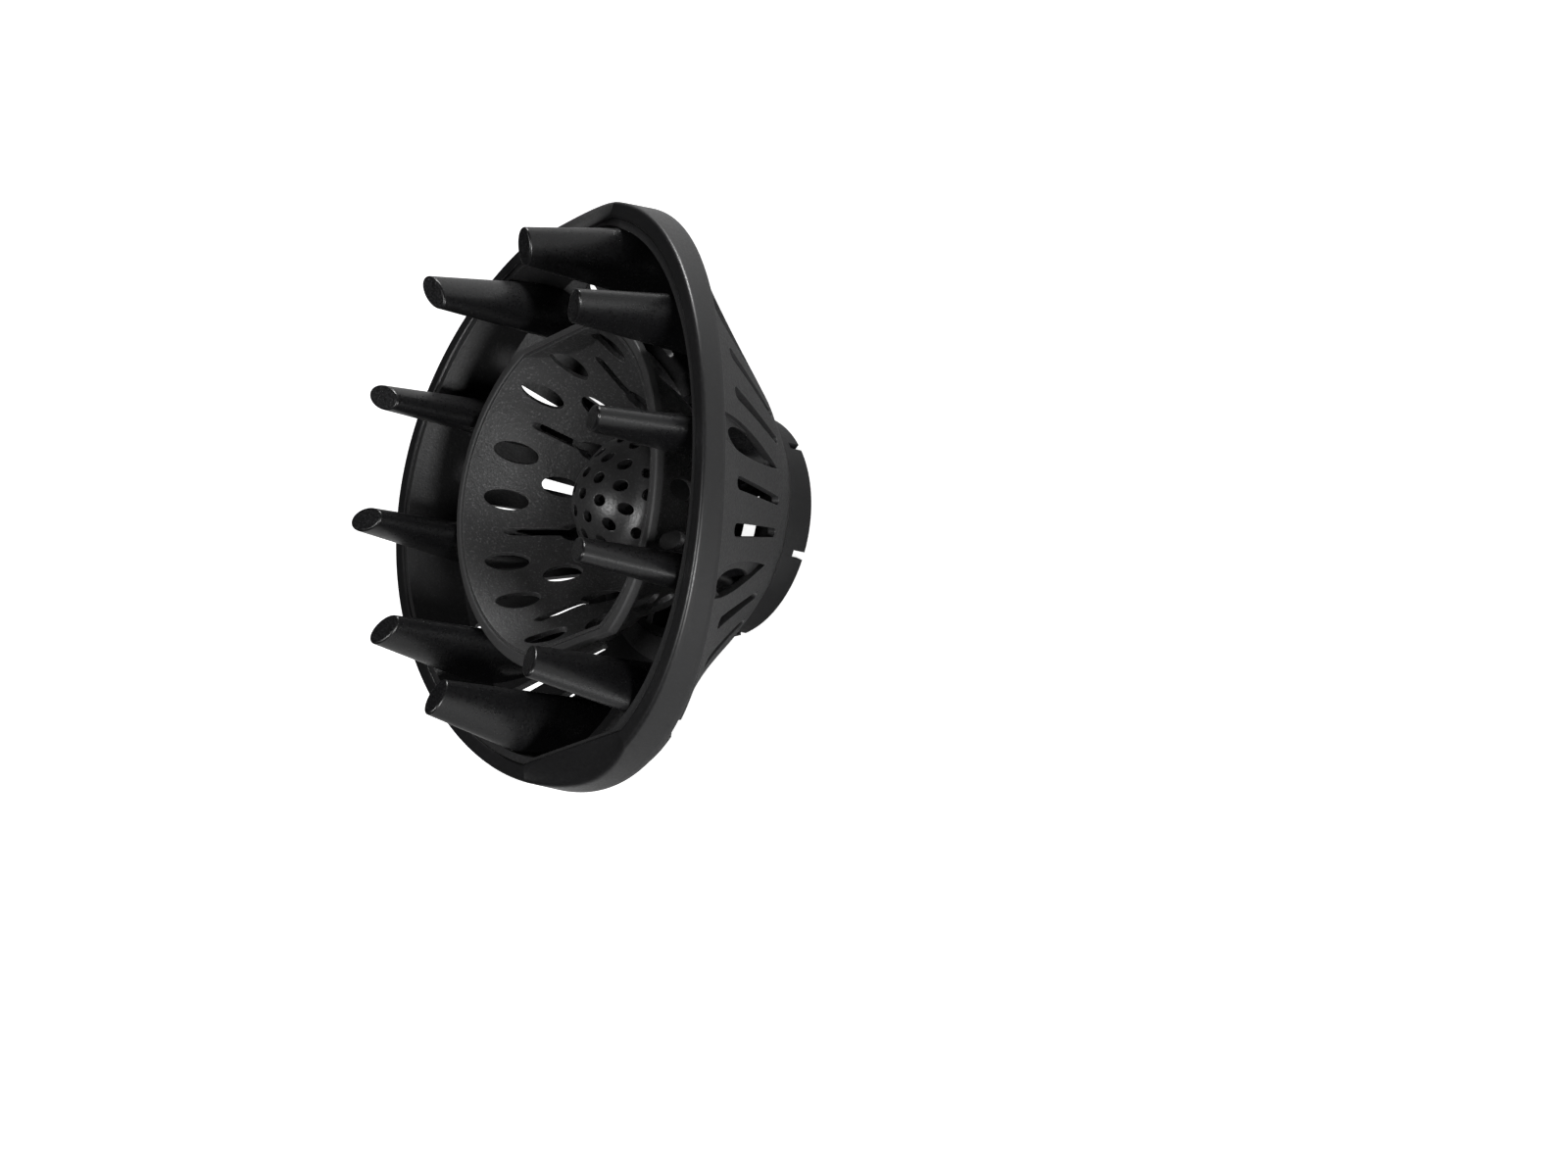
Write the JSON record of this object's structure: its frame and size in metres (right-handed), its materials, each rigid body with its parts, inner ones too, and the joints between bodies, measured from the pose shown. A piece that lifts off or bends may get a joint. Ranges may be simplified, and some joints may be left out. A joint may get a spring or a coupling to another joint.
{
  "type": "dryer diffuser",
  "caption": "Oval hair dryer diffuser: flared vented skirt, hollow slanted fingers and a slotted bowl round a perforated dome",
  "frame": {"origin": "centre of the rear face of the spigot, at the base of the part", "axes": "+Z is the axis, from the dryer toward the fingers; X is the short way across the oval rim; Y is the long way"},
  "size_m": [0.1326, 0.1512, 0.0853],
  "materials": {
    "satin_black": "satin",
    "grained_black": "fine grain",
    "bowl_black": "coarse grain",
    "finger_black": "satin",
    "grille_black": "fine grain",
    "inner_black": "matte"
  },
  "bodies": {
    "root": {"outer_shell": "grained_black", "rim_ring": "satin_black", "bowl_insert": "bowl_black", "bowl_rim_ring": "satin_black", "dome_grille": "grille_black", "bowl_spider": "inner_black", "coupling_collar": "satin_black", "finger_01": "finger_black", "finger_02": "finger_black", "finger_03": "finger_black", "finger_04": "finger_black", "finger_05": "finger_black", "finger_06": "finger_black", "finger_07": "finger_black", "finger_08": "finger_black", "finger_09": "finger_black", "finger_10": "finger_black"}
  },
  "joints": []
}
